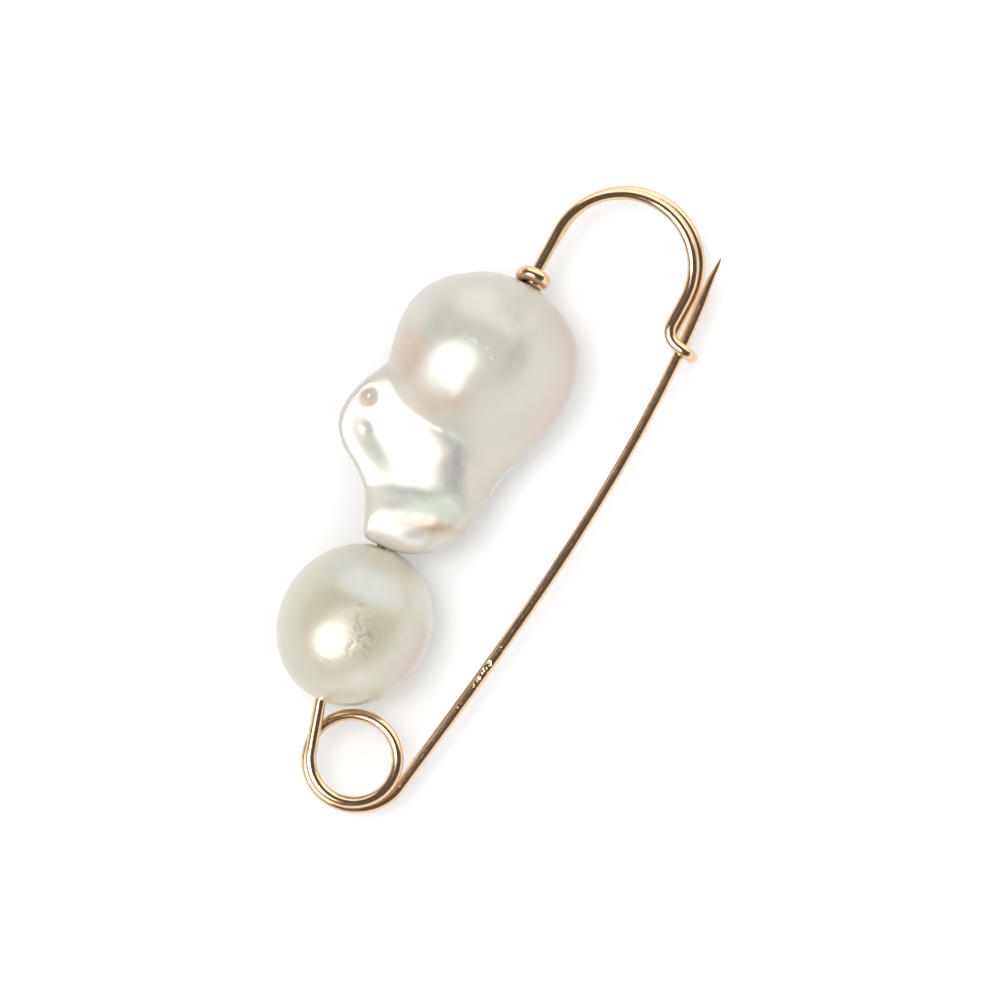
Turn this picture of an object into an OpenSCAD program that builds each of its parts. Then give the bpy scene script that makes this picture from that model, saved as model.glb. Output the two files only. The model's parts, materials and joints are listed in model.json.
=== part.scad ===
// Safety-pin brooch: one gold wire with a baroque pearl and a round pearl threaded on its stem.
// It lies flat. X runs from the pearls to the pin arm, Y from the coil to the bow, Z up from the table.

/* [Wire] */
// Radius of the wire
wire_r = 0.5; // [0.47:0.01:0.51]
// Radius of the pin arm's upper half
shaft_r = 0.46; // [0.4:0.01:0.48]
// Number of sides of a bent stretch of wire
wire_sides = 14; // [10:2:16]

/* [Stem] */
// Height of the stem's axis above the table
stem_z = 6.8; // [6.7:0.05:7]

/* [Bow] */
// Radius of the front wire's arch, to the middle of the wire
arch_r = 6.12; // [6:0.02:6.2]
// Radius of the arch of the wire on its way back
back_arch_r = 6.3; // [6.2:0.02:6.4]
// Height from the pin's axis to each wire of the hook
slot_half = 1.12; // [1.1:0.01:1.2]
// Radius of the front wire's turn towards the pin
hook_r = 1.45; // [1.2:0.05:1.5]
// Angle at which the hook's wires cross the pin
hook_tilt = 10; // [5:1:15]

/* [Collar] */
// Gap between the collar and the stem
collar_gap = 0.03; // [0.02:0.01:0.06]
// Distance from one turn of the collar to the next
collar_pitch = 0.9; // [0.89:0.01:0.95]
// Angle that the collar turns round the stem
collar_sweep = 600; // [420:10:620]
// Radius of the wire's thinned end
collar_end_r = 0.4; // [0.35:0.01:0.42]
// Gap between the bow's end and the collar's start
collar_slit = 0.02; // [0.01:0.01:0.05]

/* [Coil] */
// Radius of the coil's upper turn, to the middle of the wire
coil_r = 3.7; // [3.6:0.01:3.9]
// Drop of the coil in one turn
coil_pitch = 1.08; // [1.06:0.01:1.2]
// Angle from the X axis at which the arm leaves the coil
coil_exit = -3.6; // [-6:0.1:-2]
// Angle of the gap between the coil's end and the arm
arm_gap = 0.8; // [0.6:0.1:2]

/* [Pin arm] */
// Sideways lean of the arm where it leaves the coil, per millimetre of length
arm_lean = 0.142; // [0.13:0.001:0.15]
// Distance from the coil to where the arm stands out furthest
arm_peak = 36.8; // [35:0.1:38]
// Length of the straight shaft about that place
shaft_len = 6; // [4:0.5:6.5]
// Length of the arm along Y, from the coil to the tip
arm_len = 52.7; // [51:0.1:53]
// Length of the ground point
point_len = 4.4; // [4:0.1:6]
// Sideways shift of the tip, which is ground from one side
tip_shift = 0.16; // [0:0.01:0.3]

/* [Pearls] */
// Radius of the drilled holes
hole_r = 0.55; // [0.53:0.01:0.7]
// Mean radius of the round pearl
round_r = 6.77; // [6.6:0.01:6.8]
// Height of the baroque pearl's ball above the stem's axis
ball_height = 6.84; // [6.7:0.01:6.9]
// Depth of the baroque pearl below the stem's axis, where it rests
rest_depth = 6.8; // [6:0.05:6.8]
// Gap between the two pearls
pearl_gap = 0.1; // [0.06:0.01:0.3]

/* [Hidden] */

GOLD = [0.83, 0.66, 0.42];
NACRE = [0.87, 0.85, 0.8];

// Places on the stem's route, from the bow down to the coil
arch_mid = [2.82, 22.59];
stem_top = [arch_mid.x - arch_r, 21];
collar_at = [-3.28, 18.06];
between_pearls = [-3.78, -8.1];
below_pearls = [-2.05, -22.06];
coil_mid = [2.85, -25.11];

// Small tools

function ease(t) = let (s = min(1, max(0, t))) s * s * (3 - 2 * s);
function mix(a, b, t) = a + (b - a) * t;
function unit(v) = v / norm(v);
function soft_max(a, b, k) = (a + b + sqrt((a - b) * (a - b) + k * k)) / 2;
function soft_min(a, b, k) = (a + b - sqrt((a - b) * (a - b) + k * k)) / 2;
// t where it is positive and 0 elsewhere, with a rounded corner
function soft_over(t, k) = (t + sqrt(t * t + k * k)) / 2;
function on_circle(r, a) = [r * cos(a), r * sin(a)];
function at_height(p, z) = [p.x, p.y, z];

// Direction of a route at one of its points, halfway between its two sides
function heading(route, i) =
    let (last = len(route) - 1)
    i == 0 ? unit(route[1] - route[0]) :
    i == last ? unit(route[last] - route[last - 1]) :
    unit(unit(route[i] - route[i - 1]) + unit(route[i + 1] - route[i]));

// Sideways directions along a route, carried from point to point without twist
function sideways(route) =
    [for (
        i = 0, d = heading(route, 0), n = unit(cross(d, abs(d.z) < 0.9 ? [0, 0, 1] : [1, 0, 0]));
        i < len(route);
        i = i + 1,
        d = i < len(route) ? heading(route, i) : d,
        n = unit(n - (n * d) * d)
    ) n];

// A round wire along a route, with a radius for each point
module wire(route, radii, sides = wire_sides) {
    count = len(route);
    side = sideways(route);
    points = [
        for (i = [0 : count - 1])
            let (up = cross(heading(route, i), side[i]))
            for (k = [0 : sides - 1])
                let (a = 360 * k / sides)
                route[i] + radii[i] * (cos(a) * side[i] + sin(a) * up)
    ];
    faces = concat(
        [[for (k = [0 : sides - 1]) k]],
        [
            for (i = [0 : count - 2])
                for (k = [0 : sides - 1])
                    let (n = (k + 1) % sides)
                    [(i + 1) * sides + k, (i + 1) * sides + n, i * sides + n, i * sides + k]
        ],
        [[for (k = [sides - 1 : -1 : 0]) (count - 1) * sides + k]]
    );
    polyhedron(points, faces, convexity = 8);
}

function even(route, r) = [for (p = route) r];

// Stem

// The stem leaves the lower pearl in a straight line that touches the coil
stem_reach = norm(below_pearls - coil_mid);
stem_angle = atan2(below_pearls.y - coil_mid.y, below_pearls.x - coil_mid.x);
coil_start = stem_angle + acos(coil_r / stem_reach);
coil_touch = coil_mid + on_circle(coil_r, coil_start);

module stem() {
    route = [for (p = [coil_touch, below_pearls, between_pearls, collar_at, stem_top]) at_height(p, stem_z)];
    color(GOLD) wire(route, even(route, wire_r));
}

// Coil

coil_sweep = 720 + coil_exit - coil_start;
arm_z = stem_z - coil_pitch * coil_sweep / 360;

// The second turn lies a little outside the first, and the last part swings out to the arm
coil_spread = 0.4;
coil_swing = 0.555;
function coil_radius(a) = coil_r + coil_spread * ease((a - 240) / 180) + coil_swing * ease((a - 430) / 115);
function coil_point(a) =
    at_height(coil_mid + on_circle(coil_radius(a), coil_start + a), mix(stem_z, arm_z, a / coil_sweep));

// The coil ends just short of the arm, and its end faces stand square to the wire
module coil() {
    steps = 52;
    square_off = 1;
    turned = concat(
        [0, square_off],
        [for (i = [1 : steps - 1]) coil_sweep * i / steps],
        [coil_sweep - arm_gap - square_off, coil_sweep - arm_gap]
    );
    route = [for (a = turned) coil_point(a)];
    color(GOLD) wire(route, even(route, wire_r));
}

// Pin arm

arm_foot = coil_point(coil_sweep);

// The arm leans outwards at the coil and curls back towards its tip
function arm_point(t) =
    [arm_foot.x + arm_lean * t * (1 - t * t / (3 * arm_peak * arm_peak)), arm_foot.y + t, arm_z];
function arm_radius(t) = mix(wire_r, shaft_r, ease((t - 22) / 8));

// The point is ground to a slender, slightly rounded cone, the last of it from one side
tip_len = 2.4;
tip_r = 0.03;
point_fullness = 0.58;
function point_radius(t) = max(tip_r, shaft_r * pow(min(1, max(0, arm_len - t) / point_len), point_fullness));

shaft_from = arm_peak - shaft_len / 2;
shaft_to = arm_peak + shaft_len / 2;
shaft_x = (arm_point(shaft_from).x + arm_point(arm_peak).x) / 2;

module pin_arm() {
    lap = 0.3;
    slim = 0.02;
    lower = [for (i = [0 : 12]) arm_point((shaft_from + lap) * i / 12)];
    lower_radii = [for (i = [0 : 12]) i == 12 ? shaft_r - slim : arm_radius((shaft_from + lap) * i / 12)];
    point_from = arm_len - point_len;
    upper_from = shaft_to - lap;
    shoulders = [for (i = [0 : 4]) mix(upper_from, point_from, i / 4)];
    point = [for (left = [0.8, 0.6, 0.4, 0.22, 0.09, 0.02, 0]) arm_len - left * point_len];
    stations = concat(shoulders, point);
    upper = [for (t = stations) arm_point(t) + [tip_shift * ease((t - arm_len + tip_len) / tip_len), 0, 0]];
    upper_radii = [for (t = stations) t == upper_from ? shaft_r - slim : point_radius(t)];
    color(GOLD) union() {
        wire(lower, lower_radii);
        translate([shaft_x, arm_foot.y + shaft_from, arm_z]) rotate([-90, 0, 0])
            cylinder(h = shaft_len, r = shaft_r, $fn = 64);
        wire(upper, upper_radii);
    }
}

// Bow

// Angle along an arch, from 0 at the pin's side to 180 at the stem's side
front_hook_z = arm_z + slot_half;
back_hook_z = arm_z - slot_half;
back_foot_z = stem_z - 2 * wire_r - collar_gap;
function arch_ease(a) = (1 - cos(a)) / 2;

back_mid = [3.14, 22.83];
pin_x = 10.68;
front_turn_mid = [arch_mid.x + arch_r + hook_r, 20.33];
turn_end = front_turn_mid + on_circle(hook_r, 270 - hook_tilt);
across = [cos(hook_tilt), -sin(hook_tilt)];
pin_cross = turn_end + across * (pin_x - turn_end.x) / across.x;
back_hook_r = 1.2;
back_turn_x = back_mid.x + back_arch_r + back_hook_r;
back_turn_end_x = back_turn_x - back_hook_r * sin(hook_tilt);
back_turn_end_y = turn_end.y + (back_turn_end_x - turn_end.x) * across.y / across.x;
back_turn_y = back_turn_end_y + back_hook_r * cos(hook_tilt);
back_turn_mid = [back_turn_x, back_turn_y];

// Foot of the way back, where the collar starts
collar_r = 2 * wire_r + collar_gap;
collar_bend = 0.75;
collar_top = 19.6;
collar_foot = [collar_at.x, collar_top, stem_z - collar_r];

function arch_steps(mid, r, from, to, z_hook, z_foot) =
    let (steps = 24)
    [
        for (i = [0 : steps])
            let (a = mix(from, to, i / steps))
            at_height(mid + on_circle(r, a), mix(z_hook, z_foot, arch_ease(a)))
    ];

// The turn from an arch towards the pin, in eight steps taken in that order
function hook_turn(mid, r, z, order) =
    [for (i = order) at_height(mid + on_circle(r, mix(180, 270 - hook_tilt, i / 8)), z)];

module bow() {
    front_turn = hook_turn(front_turn_mid, hook_r, front_hook_z, [0 : 8]);
    round_pin = [
        for (i = [0 : 12])
            let (a = 180 * i / 12)
            at_height(pin_cross + across * slot_half * sin(a), arm_z + slot_half * cos(a))
    ];
    back_turn = hook_turn(back_turn_mid, back_hook_r, back_hook_z, [8 : -1 : 0]);
    route = concat(
        [at_height(stem_top, stem_z)],
        arch_steps(arch_mid, arch_r, 180, 0, front_hook_z, stem_z),
        front_turn,
        round_pin,
        back_turn,
        arch_steps(back_mid, back_arch_r, 0, 180, back_hook_z, back_foot_z),
        [for (y = [21.2, 20.2, collar_top + collar_slit]) [collar_foot.x, y, back_foot_z]]
    );
    color(GOLD) wire(route, even(route, wire_r));
}

// Collar

// The wire bends out of its way down and winds round the stem, a little lower with each turn
function collar_point(turned) =
    let (
        bend_turn = collar_bend / collar_r * 180 / PI,
        bending = min(1, turned / bend_turn),
        wound = max(0, turned - bend_turn),
        y = collar_top - collar_bend * sin(acos(1 - bending)) - collar_pitch * wound / 360,
        a = 270 + turned
    )
    [collar_foot.x + collar_r * cos(a), y, stem_z + collar_r * sin(a)];

module collar_wrap() {
    bend_turn = collar_bend / collar_r * 180 / PI;
    bend_steps = [for (a = [0, 1, 18, 36, 54, 72]) bend_turn * (1 - cos(a))];
    winding = [for (i = [0 : 26]) mix(bend_turn, collar_sweep, i / 26)];
    turned = concat(bend_steps, winding);
    route = [for (a = turned) collar_point(a)];
    color(GOLD) wire(route, [for (a = turned) mix(wire_r, collar_end_r, a / collar_sweep)], 12);
}

// Pearls

// A closed smooth curve through a table of points, with a few places on each stretch
function curve_at(p0, p1, p2, p3, t) =
    let (
        first = p2 - p0,
        second = 2 * p0 - 5 * p1 + 4 * p2 - p3,
        third = 3 * p1 - p0 - 3 * p2 + p3
    )
    p1 + 0.5 * (first * t + second * t * t + third * t * t * t);
function smooth_rim(table, places) =
    let (n = len(table))
    [
        for (i = [0 : n - 1])
            for (k = [0 : places - 1])
                curve_at(table[(i + n - 1) % n], table[i], table[(i + 1) % n], table[(i + 2) % n], k / places)
    ];

// Places of a pebble's rings as angles of its side view: spread over the top, then down the edge
function ring_angles(over_top, down_edge, squareness) = concat(
    [for (share = over_top) asin(pow(share, squareness / 2))],
    [for (closing = down_edge) acos(pow(closing, squareness / 2))]
);

// A closed body between an upper and a lower surface that meet in the rim.
// Each surface is a height over the plan, closed off at the rim: the upper one with the rim's own squareness,
// the lower one with a squareness of its own.
module pebble(rim, mid, angles, low_angles, low_squareness, top, bottom) {
    n = len(rim);
    low_rings = len(low_angles);
    function shell_point(q, squareness, sign, angle, height) =
        let (
            p = mid + pow(sin(angle), 2 / squareness) * ([q.x, q.y] - mid),
            closing = pow(cos(angle), 2 / squareness)
        )
        [p.x, p.y, stem_z + sign * closing * height(p)];
    upper = [for (angle = angles) for (q = rim) shell_point(q, q.z, 1, angle, top)];
    edge = [for (q = rim) [q.x, q.y, stem_z]];
    lower = [
        for (k = [low_rings - 1 : -1 : 0])
            for (q = rim) shell_point(q, low_squareness, -1, low_angles[k], bottom)
    ];
    crown = [mid.x, mid.y, stem_z + top(mid)];
    base = [mid.x, mid.y, stem_z - bottom(mid)];
    points = concat([crown], upper, edge, lower, [base]);
    rows = len(angles) + 1 + low_rings;
    last = 1 + rows * n;
    faces = concat(
        [for (k = [0 : n - 1]) [0, 1 + (k + 1) % n, 1 + k]],
        [
            for (r = [0 : rows - 2])
                for (k = [0 : n - 1])
                    let (a = 1 + r * n + k, b = 1 + r * n + (k + 1) % n)
                    each [[a, b, b + n], [a, b + n, a + n]]
        ],
        [for (k = [0 : n - 1]) [last, last - n + k, last - n + (k + 1) % n]]
    );
    polyhedron(points, faces, convexity = 6);
}

// A straight hole between two places on the stem's route
module drilled(from, to) {
    run = to - from;
    difference() {
        children();
        translate([from.x, from.y, stem_z]) rotate([0, 0, atan2(run.y, run.x)]) translate([-2, 0, 0])
            rotate([0, 90, 0]) cylinder(h = norm(run) + 4, r = hole_r, $fn = 48);
    }
}

// Columns: x, y, squareness of the rim
baroque_rim = [
    [-3.3, 17.0, 6],
    [-5.6, 17.0, 6],
    [-7.65, 16.3, 6],
    [-10.35, 14.1, 6],
    [-11.5, 11.35, 6],
    [-11.35, 8.6, 6],
    [-10.85, 6.6, 6],
    [-10.8, 5.7, 6],
    [-11.6, 4.05, 7],
    [-12.28, 1.6, 7],
    [-12.0, -0.6, 7],
    [-10.65, -2.15, 7],
    [-8.9, -3.2, 7],
    [-7.4, -4.45, 6],
    [-6.3, -6.4, 6],
    [-5.5, -8.0, 6],
    [-3.8, -8.1, 6],
    [-2.1, -7.85, 6],
    [-0.3, -6.95, 6],
    [1.1, -5.5, 4],
    [2.1, -3.5, 4],
    [2.3, -0.9, 4],
    [2.6, 2.2, 4],
    [3.5, 5.15, 4],
    [4.3, 8.7, 4],
    [4.1, 12.0, 4],
    [2.6, 15.0, 4],
    [0.1, 16.65, 5],
    [-1.6, 17.05, 6]
];
baroque_mid = [-4, 4.5];

// Height of an ellipsoid's cap over the plan
function cap(p, mid, rx, ry, h) =
    let (dx = (p.x - mid.x) / rx, dy = (p.y - mid.y) / ry)
    h * sqrt(max(0, 1 - dx * dx - dy * dy));

// A soft swelling or dent: a bell over an ellipse, turned by an angle
function bell(p, mid, long, wide, turn) =
    let (
        d = p - mid,
        a = (d.x * cos(turn) + d.y * sin(turn)) / long,
        b = (d.y * cos(turn) - d.x * sin(turn)) / wide
    )
    exp(-(a * a + b * b));

// The dome holds the ball. Its left and far sides are round, its right and near sides are rounded roofs.
dome_mid = [-3.95, 11];
dome_lean = 0.15;
dome_left = 8;
dome_far = 7.3;
steepest = 0.9;

// How far a circle has fallen at a distance from its top. It runs on straight where it gets steep.
function arc_drop(d, r) =
    let (near = min(abs(d), steepest * r), slope = steepest / sqrt(1 - steepest * steepest))
    r - sqrt(r * r - near * near) + slope * (abs(d) - near);

// How far a rounded roof with that side slope has fallen at a distance from its top
function slope_drop(d, roundness, slope) = sqrt(roundness * roundness + slope * slope * d * d) - roundness;

function dome(p) =
    let (
        dy = p.y - dome_mid.y,
        dx = p.x - dome_mid.x - dome_lean * soft_min(dy, 0, 3),
        side = dx < 0 ? arc_drop(dx, dome_left) : slope_drop(dx, 7, 1.08),
        along = dy > 0 ? arc_drop(dy, dome_far) : slope_drop(dy, 6.3, 1.03)
    )
    ball_height - side - along;

// The wing is a flat facet that falls away past a crest on its right.
// Towards its near end it levels out to a terrace and then rolls down over a lip.
wing_at = [-6, 2.4, 2.75];
wing_rise = [0.16, 0.2];
wing_end = 5.5;
function facet(p) = wing_at.z + wing_rise * [p.x - wing_at.x, p.y - wing_at.y];
function beyond_end(p) = 1.2 * soft_over(p.y - wing_end, 0.6);
function beyond_crest(p) =
    0.95 * soft_over(p.x - mix(-1.9, 1, ease((1 - p.y) / 5)), mix(1.35, 0.8, ease((-1 - p.y) / 3)));
function down(p) = 0.37 * (p.x + 3.8) - p.y;
function terrace(p) = 0.3 * soft_over(down(p) - 2.6, 0.4);
function beyond_lip(p) = 0.5 * soft_over(down(p) - 5.7, 0.45);
function wing(p) = facet(p) - beyond_end(p) - beyond_crest(p) + terrace(p) - beyond_lip(p);

// Swellings and dents. Columns: x, y, half length, half width, turn, height
wing_relief = [
    [-10.75, 2.6, 0.7, 0.7, 20, -0.4],
    [-8.6, 0.2, 3.1, 1.3, -32, -0.42],
    [-3, 3.5, 2.8, 1.1, -25, -0.7],
    [-0.6, -5.6, 1.8, 1, 20, -0.35]
];
ball_chin = [-3.9, 5.8, 1.5, 1.3, 90, 0.22];
function swelling(p, w) = w[5] * bell(p, [w[0], w[1]], w[2], w[3], w[4]);
function relief(p) = [for (w = wing_relief) swelling(p, w)] * [for (w = wing_relief) 1];

function baroque_top(p) =
    soft_max(dome(p) + swelling(p, ball_chin), wing(p) + relief(p), mix(0.3, 0.9, ease((p.x + 5) / 3)));
function body_bottom(p) = cap(p, [-4, 7.5], 9, 12.6, rest_depth + 0.8);
function baroque_bottom(p) = soft_min(soft_max(body_bottom(p), 1.9, 0.8), rest_depth, 0.1);

module baroque_pearl() {
    rim = smooth_rim(baroque_rim, 2);
    over_top = [0.12, 0.24, 0.35, 0.45, 0.54, 0.62, 0.69, 0.755, 0.815, 0.87, 0.92];
    down_edge = [0.76, 0.62, 0.45, 0.25];
    low_squareness = 3;
    color(NACRE) drilled(between_pearls, collar_at)
        pebble(
            rim, baroque_mid, ring_angles(over_top, down_edge, 5.5),
            ring_angles(over_top, down_edge, low_squareness), low_squareness,
            function (p) baroque_top(p), function (p) baroque_bottom(p)
        );
}

// The round pearl is a little longer one way, and flat where it faces its neighbour
round_mid = [-2.54, -15.04];
round_long = 85;
round_stretch = 0.044;
function round_reach(a) = round_r * (1 + round_stretch * cos(2 * (a - round_long)));
face_out = unit(between_pearls - round_mid);
face_at = norm(between_pearls - round_mid) - pearl_gap;

module round_pearl() {
    steps = 48;
    rim = [
        for (i = [0 : steps - 1])
            let (
                a = 360 * i / steps,
                p = on_circle(round_reach(a), a),
                over = max(0, p * face_out - face_at)
            )
            [round_mid.x + p.x - over * face_out.x, round_mid.y + p.y - over * face_out.y, 2]
    ];
    angles = [for (k = [1 : 11]) 7.5 * k];
    height = function (p) round_r;
    color(NACRE) drilled(below_pearls, between_pearls)
        pebble(rim, round_mid, angles, angles, 2, height, height);
}

stem();
bow();
collar_wrap();
coil();
pin_arm();
baroque_pearl();
round_pearl();
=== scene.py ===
# Looks of the pearl brooch: one bent gold wire with a baroque pearl and a round pearl on its stem.
# Lengths are in millimetres in the row frame until a mesh is made, and angles are in degrees.
import json

import bpy
import numpy as np
from mathutils import Matrix, Vector


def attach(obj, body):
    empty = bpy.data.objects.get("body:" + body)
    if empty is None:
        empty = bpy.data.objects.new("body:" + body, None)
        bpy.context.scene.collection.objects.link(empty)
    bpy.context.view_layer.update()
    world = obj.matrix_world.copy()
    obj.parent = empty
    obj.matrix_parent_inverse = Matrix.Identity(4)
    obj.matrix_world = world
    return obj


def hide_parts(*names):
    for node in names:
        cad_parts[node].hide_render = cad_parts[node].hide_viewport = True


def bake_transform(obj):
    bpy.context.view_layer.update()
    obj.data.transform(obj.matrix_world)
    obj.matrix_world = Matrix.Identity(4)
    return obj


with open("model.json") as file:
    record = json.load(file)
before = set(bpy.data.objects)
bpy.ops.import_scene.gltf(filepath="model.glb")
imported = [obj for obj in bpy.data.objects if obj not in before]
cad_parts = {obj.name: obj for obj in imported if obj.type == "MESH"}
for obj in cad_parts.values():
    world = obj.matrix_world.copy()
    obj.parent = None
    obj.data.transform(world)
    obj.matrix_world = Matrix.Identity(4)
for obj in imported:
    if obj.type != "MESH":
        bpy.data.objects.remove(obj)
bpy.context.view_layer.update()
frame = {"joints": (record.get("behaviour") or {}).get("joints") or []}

MM = 0.001
JOINT = frame["joints"][0]
PIVOT = np.array(JOINT["pos_m"]) / MM

# Wire, as the construction has it
WIRE_R = 0.5
SHAFT_R = 0.46
STEM_Z = 6.8
ARM_Z = PIVOT[2]
COIL_MID = PIVOT[:2]
ARCH_MID = np.array([2.82, 22.59])
ARCH_R = 6.12
BACK_MID = np.array([3.14, 22.83])
BACK_ARCH_R = 6.3
STEM_TOP = np.array([ARCH_MID[0] - ARCH_R, 21.0])
COLLAR_AT = np.array([-3.28, 18.06])
BETWEEN_PEARLS = np.array([-3.78, -8.1])
BELOW_PEARLS = np.array([-2.05, -22.06])


# Small maths

def turn(degrees):
    """Unit vector in the plan at an angle from the X axis."""
    a = np.radians(degrees)
    return np.stack([np.cos(a), np.sin(a)], -1)


def ease(t):
    s = np.clip(t, 0, 1)
    return s * s * (3 - 2 * s)


def mix(a, b, t):
    return a + (b - a) * t


def soft_max(a, b, k):
    return (a + b + np.sqrt((a - b) ** 2 + k * k)) / 2


def soft_min(a, b, k):
    return (a + b - np.sqrt((a - b) ** 2 + k * k)) / 2


def soft_over(t, k):
    """t where it is positive and 0 elsewhere, with a rounded corner."""
    return (t + np.sqrt(t * t + k * k)) / 2


def unit(v):
    return v / np.linalg.norm(v, axis=-1, keepdims=True)


def at_height(plan, z):
    plan = np.atleast_2d(plan)
    return np.column_stack([plan, np.broadcast_to(z, len(plan))])


def length_along(route):
    return np.concatenate([[0], np.cumsum(np.linalg.norm(np.diff(route, axis=0), axis=1))])


def respaced(route, step):
    """The same line with points at even distances."""
    s = length_along(route)
    at = np.linspace(0, s[-1], int(round(s[-1] / step)) + 1)
    return np.stack([np.interp(at, s, route[:, k]) for k in range(route.shape[1])], 1)


def smoothed(values, width, closed=False):
    """Values averaged along their first axis with a bell of that width in samples.

    Open ends stay in place."""
    reach = int(3 * width) + 1
    bell = np.exp(-0.5 * (np.arange(-reach, reach + 1) / width) ** 2)
    bell /= bell.sum()
    if closed:
        padded = np.concatenate([values[-reach:], values, values[:reach]])
    else:
        before = 2 * values[0] - values[reach:0:-1]
        after = 2 * values[-1] - values[-2:-reach - 2:-1]
        padded = np.concatenate([before, values, after])
    return np.stack([np.convolve(column, bell, "valid") for column in padded.T], 1)


def bell_at(p, mid, long, wide, degrees):
    """A soft swelling over an ellipse in the plan: 1 at its middle, 0 far away."""
    along = turn(degrees)
    d = p - np.array(mid)
    a = d @ along / long
    b = (d[..., 1] * along[0] - d[..., 0] * along[1]) / wide
    return np.exp(-(a * a + b * b))


def scattered(p, seed, count, mid, reach, size, height):
    """A sum of seeded small swellings and dents over an elliptical place of the plan."""
    rng = np.random.default_rng(seed)
    total = np.zeros(p.shape[:-1])
    for _ in range(count):
        place = np.array(mid) + np.sqrt(rng.uniform()) * turn(rng.uniform(0, 360)) * reach
        wide = rng.uniform(*size)
        total += rng.uniform(*height) * bell_at(p, place, 1.5 * wide, wide, rng.uniform(0, 180))
    return total


def ridge(p, line, wide):
    """A soft ridge along a line of points in the plan: 1 on the line, 0 far from it."""
    route = smoothed(respaced(np.array(line, float), 0.1), 6)
    nearest = np.full(p.shape[:-1], np.inf)
    for place in route:
        nearest = np.minimum(nearest, ((p - place) ** 2).sum(-1))
    return np.exp(-nearest / wide ** 2)


# Meshes

SHARP_ANGLE = 60


def add_mesh(name, points, faces, material, along=None):
    """A smooth-shaded mesh from points in millimetres.

    along has a vector for each point, which the gold material reads."""
    mesh = bpy.data.meshes.new(name)
    mesh.from_pydata((np.asarray(points) * MM).tolist(), [], faces)
    mesh.validate()
    mesh.shade_smooth()
    mesh.set_sharp_from_angle(angle=np.radians(SHARP_ANGLE))
    if along is not None:
        kept = mesh.attributes.new("along_wire", "FLOAT_VECTOR", "POINT")
        kept.data.foreach_set("vector", np.asarray(along, np.float32).ravel())
    piece = bpy.data.objects.new(name, mesh)
    bpy.context.scene.collection.objects.link(piece)
    mesh.materials.append(material)
    return piece


def ring_faces(rings, sides, start=0):
    """Quads between rings of points that follow each other."""
    r, k = np.meshgrid(np.arange(rings - 1), np.arange(sides), indexing="ij")
    n = (k + 1) % sides
    quads = np.stack([r * sides + k, r * sides + n, (r + 1) * sides + n, (r + 1) * sides + k], -1)
    return (quads.reshape(-1, 4) + start).tolist()


def wire_frames(route):
    """Heading and sideways direction at each point of a route, carried along without twist."""
    heading = unit(np.gradient(route, axis=0))
    side = np.empty_like(route)
    side[0] = unit(np.cross(heading[0], [0, 0, 1]))
    for i in range(1, len(route)):
        carried = side[i - 1] - (side[i - 1] @ heading[i]) * heading[i]
        side[i] = unit(carried)
    return heading, side, np.cross(heading, side)


def wire_mesh(name, route, radii, material, sides=40, marks=None, from_length=0.0):
    """A closed round wire along a route.

    marks(s, out) is added to its radius at length s in direction out."""
    heading, side, up = wire_frames(route)
    s = length_along(route) + from_length
    a = 2 * np.pi * np.arange(sides) / sides
    out = np.cos(a)[None, :, None] * side[:, None] + np.sin(a)[None, :, None] * up[:, None]
    r = np.broadcast_to(radii, len(route))[:, None] * np.ones(sides)
    if marks is not None:
        r = r + marks(s[:, None], out)
    points = (route[:, None] + out * r[..., None]).reshape(-1, 3)
    along = np.stack([s[:, None] + 0 * r, np.cos(a) * r, np.sin(a) * r], -1).reshape(-1, 3)
    count = len(route)
    points = np.concatenate([points, route[:1], route[-1:]])
    along = np.concatenate([along, [[s[0], 0, 0], [s[-1], 0, 0]]])
    head, tail = count * sides, count * sides + 1
    last = (count - 1) * sides
    faces = ring_faces(count, sides)
    faces += [[head, (k + 1) % sides, k] for k in range(sides)]
    faces += [[tail, last + k, last + (k + 1) % sides] for k in range(sides)]
    return add_mesh(name, points, faces, material, along)


# Materials

class Nodes:
    """A short way to write a node tree: each call makes one node and links or sets its inputs."""

    def __init__(self, tree):
        self.tree = tree

    def put(self, value, socket):
        """Links the socket to another one, or sets its own value."""
        if isinstance(value, bpy.types.NodeSocket):
            self.tree.links.new(value, socket)
        else:
            socket.default_value = value

    def add(self, kind, inputs=None, **settings):
        made = self.tree.nodes.new(kind)
        for name, value in settings.items():
            setattr(made, name, value)
        for name, value in (inputs or {}).items():
            self.put(value, made.inputs[name])
        return made

    def place(self):
        """The point's place on the object in millimetres."""
        here = self.add("ShaderNodeTexCoord").outputs["Object"]
        inputs = {"Vector": here, "Scale": 1 / MM}
        return self.add("ShaderNodeVectorMath", inputs, operation="SCALE").outputs[0]

    def maths(self, operation, *values):
        return self.add("ShaderNodeMath", dict(enumerate(values)), operation=operation).outputs[0]

    def vector(self, operation, *values, out="Vector"):
        return self.add("ShaderNodeVectorMath", dict(enumerate(values)), operation=operation).outputs[out]

    def noise(self, where, scale, detail=2.0, roughness=0.5):
        inputs = {"Vector": where, "Scale": scale, "Detail": detail, "Roughness": roughness}
        return self.add("ShaderNodeTexNoise", inputs).outputs["Fac"]

    def ramp(self, value, low, high, to_low=0.0, to_high=1.0):
        inputs = {"Value": value, "From Min": low, "From Max": high, "To Min": to_low, "To Max": to_high}
        made = self.add("ShaderNodeMapRange", inputs, interpolation_type="SMOOTHSTEP")
        return made.outputs["Result"]

    def blend(self, share, a, b):
        return self.add("ShaderNodeMix", {0: share, 6: a, 7: b}, data_type="RGBA").outputs[2]


def new_material(name):
    material = bpy.data.materials.new(name)
    material.use_nodes = True
    tree = material.node_tree
    tree.nodes.clear()
    nodes = Nodes(tree)
    shader = nodes.add("ShaderNodeBsdfPrincipled")
    nodes.add("ShaderNodeOutputMaterial", {"Surface": shader.outputs[0]})
    return material, nodes, shader


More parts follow.
